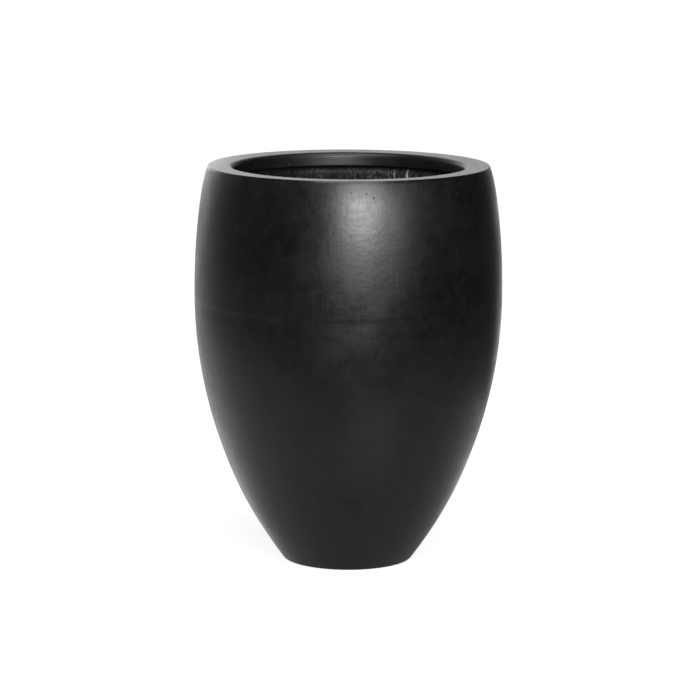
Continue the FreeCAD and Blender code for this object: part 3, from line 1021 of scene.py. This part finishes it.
def makeFloor():
    # White with a soft shadow for the camera, painted floor light for reflections, open from below
    material, tree = emptyMaterial("paleFloor")
    path = put(tree, "ShaderNodeLightPath").outputs
    where = put(tree, "ShaderNodeTexCoord").outputs["Object"]
    paintedGlow = emission(tree, paintedFloorLight(tree, where))
    pale = diffuse(tree, studio["floorColour"])
    unseen = chosen(tree, path["Is Glossy Ray"], pale, paintedGlow)
    glow = eased(tree, lengthOf(tree, where), *studio["shadowReach"], studio["shadowGlow"], 1.0)
    white = put(tree, "ShaderNodeAddShader",
                {0: diffuse(tree, studio["cameraFloor"]), 1: emission(tree, glow)}).outputs[0]
    seen = combine(tree, "MAXIMUM", path["Is Camera Ray"], path["Is Transmission Ray"])
    above = chosen(tree, seen, unseen, white)
    clear = put(tree, "ShaderNodeBsdfTransparent").outputs[0]
    below = put(tree, "ShaderNodeNewGeometry").outputs["Backfacing"]
    put(tree, "ShaderNodeOutputMaterial", {"Surface": chosen(tree, below, above, clear)})
    material.cycles.emission_sampling = "NONE"
    shape = bmesh.new()
    bmesh.ops.create_circle(shape, cap_ends=True, cap_tris=True, segments=64,
                            radius=studio["floorRadius"])
    floor = placeShape("StudioFloor", shape, [material])


def makeWorld():
    # White for the camera; reflections see the sweep behind and to the left of the pot
    world = bpy.data.worlds.new("Studio")
    scene.world = world
    world.use_nodes = True
    tree = world.node_tree
    tree.nodes.clear()
    path = put(tree, "ShaderNodeLightPath").outputs
    axes = axesOf(tree, put(tree, "ShaderNodeTexCoord").outputs["Generated"])
    low = eased(tree, axes[2], *studio["skyTop"], 1.0, 0.0)
    sweep = times(tree, bySweep(tree, sweepAngle(tree, axes), skySweep), low)
    reflected = combine(tree, "MAXIMUM", sweep, studio["overhead"])
    glossy = times(tree, path["Is Glossy Ray"], reflected)
    seen = combine(tree, "MAXIMUM", path["Is Camera Ray"], path["Is Transmission Ray"])
    other = oneMinus(tree, combine(tree, "MAXIMUM", seen, path["Is Glossy Ray"]))
    strength = joined(tree, "ADD", [seen, glossy, times(tree, other, studio["soft"])])
    background = put(tree, "ShaderNodeBackground", {"Color": (1, 1, 1, 1), "Strength": strength})
    put(tree, "ShaderNodeOutputWorld", {"Surface": background.outputs[0]})
    world.cycles.sampling_method = "NONE"


# Aim, azimuth from the front round to the right, elevation, distance, width, height, radiance
highlight = (0.016, -0.22, 0.555)
softboxes = {
    "KeySoftbox": (highlight, 9.9, 12.4, 3.0, 1.42, 0.46, 28),
    "HighSoftbox": (highlight, 9.9, 27, 3.0, 1.42, 1.1, 4.9),
    "SideSoftbox": ((0.05, -0.21, 0.5), 36, 11, 3.0, 0.4, 0.6, 8.5),
    "BackSoftbox": ((0, 0, 0.4), 205, 9, 3.4, 2.4, 1.3, 1.0),
    "TopSoftbox": ((0, 0, 0.5), 0, 67, 3.2, 2.6, 3.0, 3.5),
}


def makeSoftbox(name, aim, azimuth, elevation, distance, width, height, radiance):
    turn, rise = math.radians(azimuth), math.radians(elevation)
    level = math.cos(rise)
    towards = Vector((math.sin(turn) * level, -math.cos(turn) * level, math.sin(rise)))
    light = bpy.data.lights.new(name, "AREA")
    light.shape = "RECTANGLE"
    light.size, light.size_y = width, height
    light.energy = radiance * math.pi * width * height
    lamp = bpy.data.objects.new(name, light)
    lamp.location = Vector(aim) + towards * distance
    lamp.rotation_euler = towards.to_track_quat("Z", "Y").to_euler()
    lamp.visible_camera = False
    scene.collection.objects.link(lamp)


# The focal length is in pixels of a picture as wide as the photograph, the roll in radians
view = {"place": (0.0028, -4.8, 1.1486), "aim": (0.0028, 0, 0.3184), "focalLength": 3221.3,
        "pictureWidth": 700, "sensorWidth": 36, "roll": 0.0041, "clip": (0.05, 100)}


def makeCamera():
    camera = bpy.data.objects.new("Camera", bpy.data.cameras.new("Camera"))
    camera.data.sensor_width = view["sensorWidth"]
    camera.data.lens = view["focalLength"] / view["pictureWidth"] * view["sensorWidth"]
    camera.data.clip_start, camera.data.clip_end = view["clip"]
    forward = (Vector(view["aim"]) - Vector(view["place"])).normalized()
    level = forward.cross(Vector((0, 0, 1))).normalized()
    upright = level.cross(forward)
    across = level * math.cos(view["roll"]) + upright * math.sin(view["roll"])
    upward = upright * math.cos(view["roll"]) - level * math.sin(view["roll"])
    turned = Matrix((across, upward, -forward)).transposed()
    camera.matrix_world = Matrix.Translation(view["place"]) @ turned.to_4x4()
    scene.collection.objects.link(camera)
    scene.camera = camera


makeFloor()
makeWorld()
for name, settings in softboxes.items():
    makeSoftbox(name, *settings)
makeCamera()
scene.view_settings.view_transform = "Standard"
print("studio ready")
